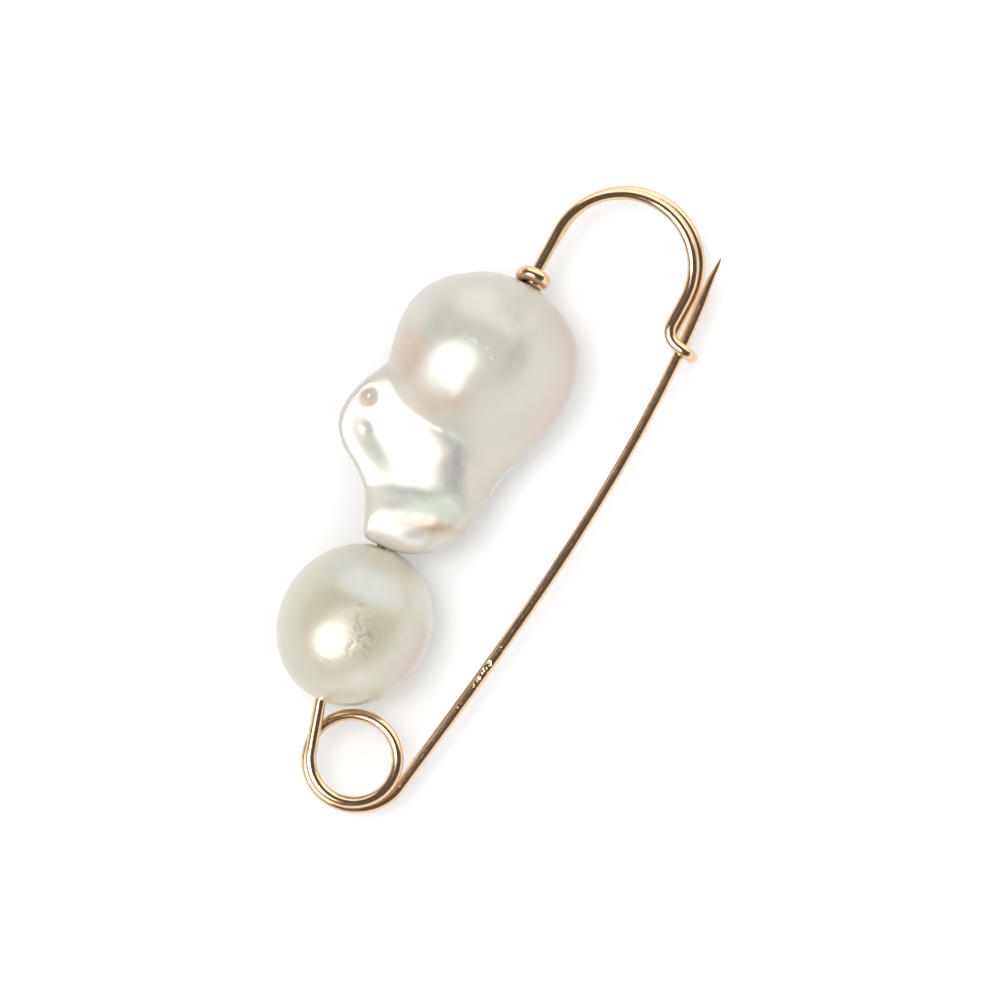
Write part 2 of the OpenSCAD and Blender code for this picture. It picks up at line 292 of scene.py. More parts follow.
def set_inputs(nodes, shader, **values):
    for name, value in values.items():
        nodes.put(value, shader.inputs[name.replace("_", " ")])


def rgb(r, g, b):
    return (r, g, b, 1.0)


def gold_material():
    """Polished yellow gold wire with faint drawing lines, a mottled skin and a few bright nicks."""
    material, n, shader = new_material("gold_wire")
    along = n.add("ShaderNodeAttribute", attribute_name="along_wire").outputs["Vector"]
    place = n.place()
    lines = n.noise(n.vector("MULTIPLY", along, (0.15, 1.0, 1.0)), 9.0, 3.0, 0.6)
    grain = n.noise(place, 9.0, 2.0, 0.6)
    cells = n.add("ShaderNodeTexVoronoi", {"Vector": place, "Scale": 2.1}).outputs
    chosen = n.add("ShaderNodeSeparateColor", {0: cells["Color"]}).outputs[0]
    nicks = n.maths("MULTIPLY", n.ramp(cells["Distance"], 0.06, 0.2, 1.0, 0.0), n.ramp(chosen, 0.5, 0.6))
    wear = n.noise(place, 0.7, 3.0)
    colour = n.blend(n.ramp(wear, 0.35, 0.7), rgb(0.81, 0.575, 0.35), rgb(0.78, 0.53, 0.31))
    colour = n.blend(n.ramp(grain, 0.45, 0.7, 0.0, 0.6), colour, rgb(0.56, 0.38, 0.22))
    roughness = n.ramp(grain, 0.3, 0.75, 0.15, 0.24)
    height = n.maths("ADD", n.maths("MULTIPLY", lines, 0.15), n.maths("MULTIPLY", grain, 0.6))
    height = n.maths("SUBTRACT", height, n.maths("MULTIPLY", nicks, 0.3))
    bump = n.add("ShaderNodeBump", {"Height": height, "Strength": 0.2, "Distance": 0.00002})
    set_inputs(n, shader, Base_Color=colour, Roughness=roughness, Normal=bump.outputs[0], Metallic=1.0)
    return material


VEIL = rgb(0.62, 0.54, 0.50)
TINT_REACH_Z = 30


def nacre_material(name, creams, tints_and_painted_light, rough_place=None):
    """Pearl nacre: a cream body with soft overtones, painted reflection and painted shade at their places in
    the plan, under a glossy skin.
    """
    material, n, shader = new_material(name)
    place = n.place()
    drift = n.add("ShaderNodeTexNoise", {"Vector": place, "Scale": 0.45, "Detail": 2.0}).outputs["Color"]
    swayed = n.vector("ADD", place, n.vector("MULTIPLY_ADD", drift, (1.8, 1.8, 1.8), (-0.9, -0.9, -0.9)))
    cloud = n.noise(swayed, 0.22, 3.0)
    colour = n.blend(n.ramp(cloud, 0.35, 0.65), *creams)

    def nearness(x, y, long, wide, degrees, full, share):
        inputs = {
            "Vector": swayed,
            "Location": (x, y, 0),
            "Rotation": (0, 0, np.radians(degrees)),
            "Scale": (long, wide, TINT_REACH_Z),
        }
        local = n.add("ShaderNodeMapping", inputs, vector_type="TEXTURE").outputs[0]
        return n.ramp(n.vector("LENGTH", local, out="Value"), full, 1.0, share, 0.0)

    z = n.add("ShaderNodeSeparateXYZ", {0: place}).outputs["Z"]
    upper_side = n.ramp(z, 5.5, 8.0)
    # Tints on the upper side only: overtones, and painted reflection and painted shade
    for x, y, long, wide, degrees, full, tint_and_painted_light, share in tints_and_painted_light:
        near = nearness(x, y, long, wide, degrees, full, share)
        colour = n.blend(n.maths("MULTIPLY", near, upper_side), colour, tint_and_painted_light)
    veil = n.noise(n.vector("MULTIPLY", swayed, (1.0, 0.5, 1.0)), 1.1, 4.0, 0.6)
    colour = n.blend(n.ramp(veil, 0.35, 0.7, 0.0, 0.22), colour, VEIL)
    ripple = n.noise(swayed, 0.9, 3.0, 0.45)
    fine = n.noise(place, 4.0, 3.0)
    height = n.maths("ADD", n.maths("MULTIPLY", ripple, 0.4), n.maths("MULTIPLY", fine, 0.01))
    roughness = n.ramp(fine, 0.3, 0.7, 0.3, 0.33)
    if rough_place:
        near = n.maths("MULTIPLY", nearness(*rough_place, 1.0), upper_side)
        # On the rough place: bumps, and a brown mottle that is partly the patch's own colour and partly
        # painted dark reflection
        mottle = n.noise(place, 2.2, 4.0, 0.6)
        height = n.maths("ADD", height, n.maths("MULTIPLY", near, mottle))
        colour = n.blend(n.maths("MULTIPLY", near, n.ramp(mottle, 0.4, 0.65)), colour, PATCH_BROWN)
    bump = n.add("ShaderNodeBump", {"Height": height, "Strength": 0.2, "Distance": 0.00006})
    set_inputs(
        n, shader, Base_Color=colour, Roughness=roughness, Normal=bump.outputs[0],
        IOR=1.6, Specular_IOR_Level=0.65, Coat_Weight=0.6, Coat_Roughness=0.25, Coat_IOR=1.55,
        Subsurface_Weight=0.25, Subsurface_Radius=(1.0, 0.8, 0.6), Subsurface_Scale=0.0008,
    )
    return material


# Wires

# Distance between a route's points, and how far and how much thinner a stretch runs on inside the next one
STEP = 0.1
OVERLAP = 0.25
HIDDEN = 0.01

# Coil
COIL_R = 3.7
COIL_SPREAD = 0.4
COIL_SWING = 0.555
COIL_SPREAD_FROM = 240
COIL_SPREAD_OVER = 180
COIL_SWING_FROM = 430
COIL_SWING_OVER = 115
COIL_EXIT = -3.6
stem_reach = np.linalg.norm(BELOW_PEARLS - COIL_MID)
stem_way = BELOW_PEARLS - COIL_MID
COIL_START = np.degrees(np.arctan2(stem_way[1], stem_way[0]) + np.arccos(COIL_R / stem_reach))
COIL_SWEEP = 720 + COIL_EXIT - COIL_START % 360


def coil_points(a):
    """The coil's middle line.

    The second turn lies a little outside the first, and the last part swings out to the arm."""
    spread = COIL_SPREAD * ease((a - COIL_SPREAD_FROM) / COIL_SPREAD_OVER)
    swing = COIL_SWING * ease((a - COIL_SWING_FROM) / COIL_SWING_OVER)
    plan = COIL_MID + (COIL_R + spread + swing)[:, None] * turn(COIL_START + a)
    return np.column_stack([plan, mix(STEM_Z, ARM_Z, a / COIL_SWEEP)])


# Arm
ARM_LEAN = 0.142
ARM_PEAK = 36.8
ARM_LEN = 52.7
POINT_LEN = 4.4
POINT_FULLNESS = 0.58
POINT_R = 0.025
TIP_LEN = 2.4
TIP_SHIFT = 0.16
ARM_THINS_FROM = 22
ARM_THINS_OVER = 8
ARM_FOOT = coil_points(np.array([COIL_SWEEP]))[0]


def arm_points(t):
    """The arm's middle line.

    It leans outwards at the coil and curls back towards its tip, which is ground from one side."""
    x = ARM_FOOT[0] + ARM_LEAN * t * (1 - t * t / (3 * ARM_PEAK ** 2))
    x = x + TIP_SHIFT * ease((t - ARM_LEN + TIP_LEN) / TIP_LEN)
    return np.column_stack([x, ARM_FOOT[1] + t, np.full_like(t, ARM_Z)])


def arm_radii(t):
    full = mix(WIRE_R, SHAFT_R, ease((t - ARM_THINS_FROM) / ARM_THINS_OVER))
    full = full - HIDDEN * (t < 0)
    left = np.clip((ARM_LEN - t) / POINT_LEN, 0, 1)
    return np.maximum(POINT_R, full * left ** POINT_FULLNESS)


# Hook
SLOT_HALF = 1.12
FRONT_HOOK_Z = ARM_Z + SLOT_HALF
BACK_HOOK_Z = ARM_Z - SLOT_HALF
HOOK_TILT = 10
FRONT_HOOK_R = 1.45
BACK_HOOK_R = 1.2
PIN_X = 10.68
ACROSS = turn(-HOOK_TILT)
FRONT_TURN_MID = np.array([ARCH_MID[0] + ARCH_R + FRONT_HOOK_R, 20.33])
TURN_END = FRONT_TURN_MID + FRONT_HOOK_R * turn(270 - HOOK_TILT)
PIN_CROSS = TURN_END + ACROSS * (PIN_X - TURN_END[0]) / ACROSS[0]
BACK_TURN_X = BACK_MID[0] + BACK_ARCH_R + BACK_HOOK_R
back_end_x = BACK_TURN_X - BACK_HOOK_R * np.sin(np.radians(HOOK_TILT))
back_end_y = TURN_END[1] + (back_end_x - TURN_END[0]) * ACROSS[1] / ACROSS[0]
BACK_TURN_MID = np.array([BACK_TURN_X, back_end_y + BACK_HOOK_R * np.cos(np.radians(HOOK_TILT))])

# Collar
COLLAR_R = 2 * WIRE_R + 0.03
COLLAR_BEND = 0.75
COLLAR_TOP = 18.38
COLLAR_PITCH = 0.62
COLLAR_TILT = 0.3
COLLAR_SWEEP = 560
COLLAR_TUCK = 0.2
COLLAR_TUCK_FROM = 280
COLLAR_TUCK_OVER = 120
COLLAR_END_R = 0.4
COLLAR_SWELL = 0.13
# As shares of the collar's length
SWELLS_OVER = 0.2
SWELL_ENDS = 0.7
NARROWS_FROM = 0.5
NARROWS_OVER = 0.4

BACK_FOOT_Z = STEM_Z - COLLAR_R
BACK_FOOT_Y = (21.2, 20.0)


def arch_points(mid, r, start, end, z_hook, z_foot):
    a = np.linspace(start, end, 160)
    z = mix(z_hook, z_foot, (1 - np.cos(np.radians(a))) / 2)
    return np.column_stack([mid + r * turn(a), z])


def hook_points():
    """From the front arch's end, over the pin, round it, and back under it to the start of the way back."""
    a = np.linspace(180, 270 - HOOK_TILT, 40)
    front = at_height(FRONT_TURN_MID + FRONT_HOOK_R * turn(a), FRONT_HOOK_Z)
    around = np.linspace(0, 180, 60)
    plan = PIN_CROSS + ACROSS * SLOT_HALF * np.sin(np.radians(around))[:, None]
    bend = np.column_stack([plan, ARM_Z + SLOT_HALF * np.cos(np.radians(around))])
    back = at_height(BACK_TURN_MID + BACK_HOOK_R * turn(a[::-1]), BACK_HOOK_Z)
    return np.concatenate([front, bend, back])


def collar_points():
    """The wire's end bends out of its way down and winds round the stem.

    Its second turn is tucked in below the first."""
    bend_turn = np.degrees(COLLAR_BEND / COLLAR_R)
    bending = np.radians(np.linspace(0, 90, 24))
    winding = np.linspace(bend_turn, COLLAR_SWEEP, 240)[1:]
    turned = np.concatenate([bend_turn * (1 - np.cos(bending)), winding])
    above = np.concatenate([COLLAR_BEND * (1 - np.sin(bending)), 0 * winding])
    a = np.radians(270 + turned)
    y = COLLAR_TOP - COLLAR_PITCH * turned / 360 + COLLAR_TILT * np.sin(a) + above
    tuck = COLLAR_TUCK * ease((turned - COLLAR_TUCK_FROM) / COLLAR_TUCK_OVER)
    r = COLLAR_R - 0.8 * COLLAR_SWELL * ease(turned / 90) - tuck
    return np.column_stack([COLLAR_AT[0] + r * np.cos(a), y, STEM_Z + r * np.sin(a)])


def stem_points():
    plan = np.array([coil_points(np.zeros(1))[0, :2], BELOW_PEARLS, BETWEEN_PEARLS, COLLAR_AT, STEM_TOP])
    return at_height(plan, STEM_Z)


def nicked(s, out):
    """Tiny unevenness of a hand-bent wire."""
    return 0.003 * np.sin(1.7 * s + 2 * out[..., 0]) + 0.002 * np.sin(4.3 * s + 3 * out[..., 2] + 1)


# Worn punch marks on the arm, scattered so that they show nothing that can be read. Columns: seed, count,
# least and greatest length from the coil, place across, size and depth
PUNCHES = [
    [31, 40, (10.9, 13.4), (-0.34, 0.1), (0.07, 0.12), (-0.05, 0.06)],
    [32, 12, (14.1, 14.9), (-0.3, 0.2), (0.06, 0.1), (-0.02, 0.03)],
    [33, 7, (8.5, 9.3), (-0.2, 0.15), (0.06, 0.09), (-0.015, 0.025)],
    [34, 30, (15.0, 20.0), (-0.2, 0.25), (0.06, 0.1), (-0.006, 0.006)],
    [35, 3, (44.4, 44.8), (-0.1, 0.15), (0.05, 0.08), (0.01, 0.02)],
]


def punched(s, out):
    total = nicked(s, out)
    across = out[..., 0] * WIRE_R
    for seed, count, lengths, places, sizes, depths in PUNCHES:
        rng = np.random.default_rng(seed)
        for _ in range(count):
            at, place, size, depth = (rng.uniform(*limits) for limits in (lengths, places, sizes, depths))
            near = ((s - at) / size) ** 2 + ((across - place) / size) ** 2
            total = total - depth * np.exp(-near) * (out[..., 2] > 0)
    return total


def stem_wire(material):
    """Stem, bow and collar are one wire, from the coil to its wrapped end."""
    foot = np.array([[COLLAR_AT[0], y, BACK_FOOT_Z] for y in BACK_FOOT_Y])
    parts = [
        stem_points()[:-1],
        arch_points(ARCH_MID, ARCH_R, 180, 0, FRONT_HOOK_Z, STEM_Z),
        hook_points(),
        arch_points(BACK_MID, BACK_ARCH_R, 0, 180, BACK_HOOK_Z, BACK_FOOT_Z),
        foot,
        collar_points(),
    ]
    route = smoothed(respaced(np.concatenate(parts), STEP), 1.2)
    s = length_along(route)
    collar_len = length_along(collar_points())[-1]
    wound = np.clip((s - s[-1] + collar_len) / collar_len, 0, 1)
    radii = mix(WIRE_R, COLLAR_END_R, ease((wound - NARROWS_FROM) / NARROWS_OVER))
    swelling = ease(wound / SWELLS_OVER) * ease((SWELL_ENDS - wound) / SWELLS_OVER)
    radii = radii + COLLAR_SWELL * swelling
    rounding = np.clip((s[-1] - s) / COLLAR_END_R, 0, 1)
    radii = radii * np.sqrt(np.maximum(0.02, 1 - (1 - rounding) ** 2))
    wire = wire_mesh("stem_and_bow_wire", route, radii, material, marks=nicked)
    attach(wire, "frame")
    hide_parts("stem", "bow", "collar_wrap")
    return wire


def coil_wire(material):
    route = coil_points(np.linspace(0, COIL_SWEEP, 400))
    tail = route[0] + OVERLAP * unit(stem_points()[1] - stem_points()[0])
    route = np.concatenate([[tail], route])
    radii = np.full(len(route), WIRE_R)
    radii[0] -= HIDDEN
    wire = wire_mesh("spring_coil", route, radii, material, marks=nicked, from_length=-50)
    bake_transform(wire)
    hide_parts("coil")
    return wire


def pin_wire(material):
    point = mix(ARM_LEN - POINT_LEN, ARM_LEN, np.sin(np.radians(np.linspace(0, 90, 130))))
    t = np.concatenate([np.linspace(-OVERLAP, ARM_LEN - POINT_LEN, 1100)[:-1], point])
    wire = wire_mesh("pin_arm_wire", arm_points(t), arm_radii(t), material, sides=48, marks=punched)
    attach(wire, "pin")
    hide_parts("pin_arm")
    return wire


# Pearls

def curve_through(table, places):
    """A closed smooth curve through a table of points."""
    p1 = np.array(table, float)
    p0, p2, p3 = np.roll(p1, 1, 0), np.roll(p1, -1, 0), np.roll(p1, -2, 0)
    t = (np.arange(places) / places)[None, :, None]
    p0, p1, p2, p3 = (p[:, None] for p in (p0, p1, p2, p3))
    first = p2 - p0
    second = 2 * p0 - 5 * p1 + 4 * p2 - p3
    third = 3 * p1 - p0 - 3 * p2 + p3
    curve = 0.5 * (2 * p1 + first * t + second * t ** 2 + third * t ** 3)
    return curve.reshape(-1, p1.shape[-1])


EDGE_SHARE = 2.5


def pebble_points(rim, mid, rings, height):
    """Rings from the middle out to just inside the rim, at even distances over the top and down the edge.

    The rim's third column says how square its edge is."""
    q = rim[None, :, 2]
    typical = rim[:, 2].mean()
    fine = np.radians(np.linspace(0, 90, 2000))
    side_view = np.stack([EDGE_SHARE * np.sin(fine) ** (2 / typical), np.cos(fine) ** (2 / typical)], 1)
    s = length_along(side_view)
    angle = np.interp(np.linspace(0, s[-1], rings + 1)[1:-1], s, fine)[:, None]
    share = np.sin(angle) ** (2 / q)
    closing = np.cos(angle) ** (2 / q)
    plan = mid + share[..., None] * (rim[None, :, :2] - mid)
    return plan, closing * height(plan)


def pebble(name, rim, mid, rings, top, bottom, holes, material, low_squareness=2.0):
    """A closed pearl between an upper and a lower surface that meet in the rim.

    The lower surface has one squareness all round."""
    sides = len(rim)
    plan, up = pebble_points(rim, mid, rings[0], top)
    upper = np.concatenate([plan, (STEM_Z + up)[..., None]], -1).reshape(-1, 3)
    edge = at_height(rim[:, :2], STEM_Z)
    low_rim = np.column_stack([rim[:, :2], np.full(sides, low_squareness)])
    plan, down = pebble_points(low_rim, mid, rings[1], bottom)
    lower = np.concatenate([plan, (STEM_Z - down)[..., None]], -1)[::-1].reshape(-1, 3)
    crown = at_height(mid, STEM_Z + top(np.array(mid)))
    base = at_height(mid, STEM_Z - bottom(np.array(mid)))
    points = np.concatenate([crown, upper, edge, lower, base])
    for entry, way in holes:
        points = drilled(points, entry, way)
    count = rings[0] + rings[1] - 1
    last = 1 + count * sides
    faces = [[0, 1 + k, 1 + (k + 1) % sides] for k in range(sides)]
    faces += [[a, d, c, b] for a, b, c, d in ring_faces(count, sides, 1)]
    faces += [[last, last - sides + (k + 1) % sides, last - sides + k] for k in range(sides)]
    piece = add_mesh(name, points, faces, material)
    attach(piece, "frame")
    return piece


HOLE_R = 0.56
HOLE_EDGE = 0.16
HOLE_DEPTH = 0.3
HOLE_REACH = 3


def drilled(points, entry, way):
    """Presses a small round pit into the surface where the wire enters, with a slightly chipped edge."""
    inward = at_height(unit(np.array(way)), 0)[0]
    d = points - at_height(np.array(entry), STEM_Z)
    along = d @ inward
    off = d - along[:, None] * inward
    far = np.linalg.norm(off, axis=1)
    around = np.arctan2(off[:, 2], off @ np.cross(inward, [0, 0, 1]))
    chip = HOLE_EDGE * (1 + 0.5 * np.sin(3 * around + 1) + 0.3 * np.sin(7 * around))
    inside = 1 - ease((far - HOLE_R) / chip)
    near = np.abs(along) < HOLE_REACH
    return points + (HOLE_DEPTH * inside * near)[:, None] * inward


# Columns: x, y, squareness of the rim
BAROQUE_RIM = [
    [-3.3, 17.38, 6],
    [-5.6, 17.15, 6],
    [-7.65, 16.3, 6],
    [-10.35, 14.1, 6],
    [-11.5, 11.35, 6],
    [-11.35, 8.6, 6],
    [-10.85, 6.6, 6],
    [-10.8, 5.7, 6],
    [-11.6, 4.05, 7],
    [-12.28, 1.6, 7],
    [-12.0, -0.6, 7],
    [-10.65, -2.15, 7],
    [-8.9, -3.2, 7],
    [-7.4, -4.45, 6],
    [-6.3, -6.4, 6],
    [-5.5, -8.0, 6],
    [-3.8, -8.1, 6],
    [-2.1, -7.85, 6],
    [-0.3, -6.95, 6],
    [1.1, -5.5, 4],
    [2.1, -3.5, 4],
    [2.3, -0.9, 4],
    [2.6, 2.2, 4],
    [3.5, 5.15, 4],
    [4.3, 8.7, 4],
    [4.1, 12.0, 4],
    [2.6, 15.0, 4],
    [0.1, 16.65, 5],
    [-1.6, 17.2, 6],
]
BAROQUE_MID = np.array([-4, 4.5])
LOW_SQUARENESS = 3.0

# Dome, which holds the ball: heights are above the stem's middle
DOME_TOP = 6.84
DOME_MID = np.array([-3.95, 11.0])
DOME_LEAN = 0.15
DOME_LEFT = 8.0
DOME_RIGHT = (7.0, 1.08)
DOME_FAR = 7.3
DOME_NEAR = (6.3, 1.03)
STEEPEST = 0.9

# The crease between dome and wing is sharp on its left, at the first x, and softer past the second one
CREASE_X = (-5, -2)
CREASE_SOFTNESS = (0.3, 0.9)

# Wing: a flat facet that falls away towards the dome, past a crest on its right and past a lip near the
# round pearl
WING_AT = 2.75
WING_MID = (-6, 2.4)
WING_RISE = (0.16, 0.2)
WING_END = 5.5
WING_END_DROP = 1.2
WING_END_ROUNDING = 0.6

# The crest's x and its rounding, beside the dome and at the near end, and its change of slope
CREST_X = (-1.9, 1.0)
CREST_ROUNDING = (1.35, 0.8)
CREST_DROP = 0.95

# Slanted lines across the wing's near end: past the first it levels out, and past the second it rolls
# down over the lip. Each has its place, the change of slope past it, and its rounding
LINES_LEAN = 0.37
LINES_X = -3.8
TERRACE = (-2.6, 0.3, 0.4)
LIP = (-5.7, 0.5, 0.45)

# Swellings and dents of the wing. Columns: x, y, half length, half width, turn, height
WING_RELIEF = [
    [-10.75, 2.6, 0.55, 0.68, 20, -0.5],
    [-9.7, 0.1, 0.45, 0.4, -27, 0.14],
    [-8.6, 0.2, 3.1, 1.3, -32, -0.42],
    [-9.3, -1.9, 3.0, 0.8, -28, 0.12],
    [-2.2, -5.1, 3.4, 0.7, 20, -0.12],
    [-3.0, 3.5, 2.8, 1.1, -25, -0.7],
    [-0.6, -5.6, 1.8, 1.0, 20, -0.35],
]
BALL_CHIN = [-3.9, 5.8, 1.5, 1.3, 90, 0.22]
FAINT_STREAK = [-4.0, 3.9, 1.1, 0.35, 95, 0.06]
GROWTH_LINE = [(1.3, 14.6), (2.11, 13.47), (2.59, 10.45), (2.11, 8.83), (0.8, 7.2), (-0.37, 5.93)]
GROWTH_LINE_WIDE = 0.3
GROWTH_LINE_HIGH = 0.03

# Fine specks. Columns: seed, count, place, reach, least and greatest size, least and greatest height
BALL_SPECKS = [
    [1, 6, (-8.0, 12.75), (0.45, 0.15), (0.05, 0.1), (0.01, 0.03)],
    [2, 7, (-5.1, 11.1), (0.5, 0.2), (0.05, 0.12), (0.01, 0.04)],
    [3, 7, (-3.4, 11.0), (0.5, 0.35), (0.05, 0.12), (0.01, 0.04)],
    [4, 9, (-2.3, 10.4), (0.7, 0.3), (0.05, 0.12), (0.01, 0.04)],
    [5, 2, (-5.12, 9.9), (0.1, 0.1), (0.06, 0.08), (-0.03, -0.02)],
    [6, 3, (-5.15, 7.8), (0.12, 0.12), (0.06, 0.08), (-0.03, -0.02)],
    [7, 8, (-3.9, 3.4), (0.5, 0.9), (0.06, 0.15), (0.005, 0.02)],
    [8, 6, (-9.9, 4.0), (0.6, 0.4), (0.06, 0.12), (-0.02, 0.02)],
    [9, 26, (-4.0, 8.0), (7.0, 8.0), (0.9, 2.2), (-0.02, 0.02)],
]


def arc_drop(d, r):
    """How far a circle has fallen at a distance from its top. It runs on straight where it gets steep."""
    near = np.minimum(np.abs(d), STEEPEST * r)
    slope = STEEPEST / np.sqrt(1 - STEEPEST ** 2)
    return r - np.sqrt(r * r - near ** 2) + slope * (np.abs(d) - near)


def slope_drop(d, roundness, slope):
    """How far a rounded roof with that side slope has fallen at a distance from its top."""
    return np.sqrt(roundness ** 2 + (slope * d) ** 2) - roundness


def dome(p):
    dy = p[..., 1] - DOME_MID[1]
    dx = p[..., 0] - DOME_MID[0] - DOME_LEAN * soft_min(dy, 0, 3)
    side = np.where(dx < 0, arc_drop(dx, DOME_LEFT), slope_drop(dx, *DOME_RIGHT))
    along = np.where(dy > 0, arc_drop(dy, DOME_FAR), slope_drop(dy, *DOME_NEAR))
    return DOME_TOP - side - along


def wing(p):
    x, y = p[..., 0], p[..., 1]
    facet = WING_AT + WING_RISE[0] * (x - WING_MID[0]) + WING_RISE[1] * (y - WING_MID[1])
    crest_x = mix(*CREST_X, ease((1.0 - y) / 5))
    rounding = mix(*CREST_ROUNDING, ease((-1 - y) / 3))
    down = LINES_LEAN * (x - LINES_X) - y
    facet = facet - WING_END_DROP * soft_over(y - WING_END, WING_END_ROUNDING)
    facet = facet - CREST_DROP * soft_over(x - crest_x, rounding)
    facet = facet + TERRACE[1] * soft_over(TERRACE[0] + down, TERRACE[2])
    facet = facet - LIP[1] * soft_over(LIP[0] + down, LIP[2])
    return facet + sum(height * bell_at(p, (x0, y0), *form) for x0, y0, *form, height in WING_RELIEF)


def baroque_top(p):
    x, y, *form, height = BALL_CHIN
    ball = dome(p) + height * bell_at(p, (x, y), *form)
    softness = mix(*CREASE_SOFTNESS, ease((p[..., 0] - CREASE_X[0]) / (CREASE_X[1] - CREASE_X[0])))
    whole = soft_max(ball, wing(p), softness)
    x, y, *form, height = FAINT_STREAK
    growth = GROWTH_LINE_HIGH * ridge(p, GROWTH_LINE, GROWTH_LINE_WIDE)
    whole = whole + height * bell_at(p, (x, y), *form) + growth
    return whole + sum(scattered(p, *row) for row in BALL_SPECKS)


def cap(p, mid, rx, ry, h):
    """Height of an ellipsoid's cap over the plan."""
    dx, dy = (p[..., 0] - mid[0]) / rx, (p[..., 1] - mid[1]) / ry
    return h * np.sqrt(np.maximum(0, 1 - dx * dx - dy * dy))


# Underside: part of an ellipsoid, flattened where it rests, and of a steady depth beyond it under the wing.
# The last row has the columns of the specks
BELLY_MID = (-4, 7.5)
BELLY_REACH = (9, 12.6)
BELLY_DEPTH = 7.6
REST_DEPTH = 6.75
WING_DEPTH = 1.9
UNDERSIDE = [11, 30, (-4, 5), (7, 11), (0.9, 2.2), (-0.06, 0.03)]


def baroque_bottom(p):
    body = cap(p, BELLY_MID, *BELLY_REACH, BELLY_DEPTH)
    return soft_min(soft_max(body, WING_DEPTH, 0.8), REST_DEPTH, 0.1) + scattered(p, *UNDERSIDE)


# Places on each stretch of the rim, rings of the upper and the lower surface, and y of the hole at the collar
RIM_PLACES = 16
BAROQUE_RINGS = (140, 60)
TOP_HOLE_Y = 17.3


def baroque_pearl(material):
    rim = smoothed(curve_through(BAROQUE_RIM, RIM_PLACES), 3, closed=True)
    along = COLLAR_AT - BETWEEN_PEARLS
    top_hole = BETWEEN_PEARLS + along * (TOP_HOLE_Y - BETWEEN_PEARLS[1]) / along[1]
    holes = [(BETWEEN_PEARLS, along), (top_hole, -along)]
    pearl = pebble(
        "baroque_pearl_nacre", rim, BAROQUE_MID, BAROQUE_RINGS, baroque_top, baroque_bottom, holes, material,
        low_squareness=LOW_SQUARENESS,
    )
    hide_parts("baroque_pearl")
    return pearl


ROUND_R = 6.77
ROUND_MID = np.array([-2.54, -15.04])
ROUND_LONG = 85
ROUND_STRETCH = 0.044
ROUND_SIDES = 440
ROUND_RINGS = (120, 80)
PEARL_GAP = 0.1

# Rough places of the round pearl, in the same columns as the specks of the ball
ROUND_SPECKS = [
    [21, 70, (-1.4, -15.3), (1.7, 2.5), (0.12, 0.3), (-0.03, 0.02)],
    [22, 90, (-1.3, -14.9), (1.4, 2.2), (0.06, 0.12), (-0.03, 0.03)],
    [23, 3, (-2.7, -13.3), (0.2, 0.2), (0.15, 0.3), (-0.08, -0.03)],
    [24, 12, (-1.5, -20.6), (2.0, 1.0), (0.1, 0.25), (-0.03, 0.03)],
    [25, 14, (-3.4, -18.9), (1.4, 0.4), (0.1, 0.25), (-0.02, 0.03)],
    [26, 24, (-2.5, -15.0), (6.0, 6.0), (1.0, 2.2), (-0.03, 0.03)],
]


def round_height(p):
    return ROUND_R + sum(scattered(p, *row) for row in ROUND_SPECKS)


def plain_height(p):
    return np.full(p.shape[:-1], ROUND_R)


def round_pearl(material):
    a = np.linspace(0, 360, ROUND_SIDES, endpoint=False)
    reach = ROUND_R * (1 + ROUND_STRETCH * np.cos(np.radians(2 * (a - ROUND_LONG))))
    p = reach[:, None] * turn(a)
    facing = BETWEEN_PEARLS - ROUND_MID
    face_at = np.linalg.norm(facing) - PEARL_GAP
    over = np.maximum(0, p @ unit(facing) - face_at)
    plan = ROUND_MID + p - over[:, None] * unit(facing)
    rim = np.column_stack([plan, np.full(len(a), 2.0)])
    along = BETWEEN_PEARLS - BELOW_PEARLS
    holes = [(BELOW_PEARLS, along), (BETWEEN_PEARLS, -along)]
    pearl = pebble(
        "round_pearl_nacre", rim, ROUND_MID, ROUND_RINGS, round_height, plain_height, holes, material,
    )
    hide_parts("round_pearl")
    return pearl


# Camera, floor and light

# The photograph: 1000 pixels across, 0.085 mm to a pixel at the wire's height
PHOTO_WIDTH = 85.0
PHOTO_MID = (3.245, 0.16)
PHOTO_RIGHT = (0.8788, 0.4772)
LENS = 300.0
SENSOR = 36.0


def add_camera():
    data = bpy.data.cameras.new("camera")
    data.lens = LENS
    data.sensor_width = SENSOR
    data.clip_start, data.clip_end = 0.01, 20
    camera = bpy.data.objects.new("camera", data)
    bpy.context.scene.collection.objects.link(camera)
    right = Vector((*PHOTO_RIGHT, 0)).normalized()
    back = Vector((0, 0, 1))
    up = back.cross(right)
    away = PHOTO_WIDTH * LENS / SENSOR
    place = Vector((*PHOTO_MID, STEM_Z + away)) * MM
    camera.matrix_world = Matrix.Translation(place) @ Matrix((right, up, back)).transposed().to_4x4()
    bpy.context.scene.camera = camera


def add_floor():
    mesh = bpy.data.meshes.new("floor")
    half = 3.0
    corners = [(-half, -half, 0), (half, -half, 0), (half, half, 0), (-half, half, 0)]
    mesh.from_pydata(corners, [], [(0, 1, 2, 3)])
    floor = bpy.data.objects.new("floor", mesh)
    bpy.context.scene.collection.objects.link(floor)
    material, n, shader = new_material("white_board")
    set_inputs(n, shader, Base_Color=rgb(0.95, 0.955, 0.965), Roughness=0.9, Specular_IOR_Level=0.0)
    mesh.materials.append(material)


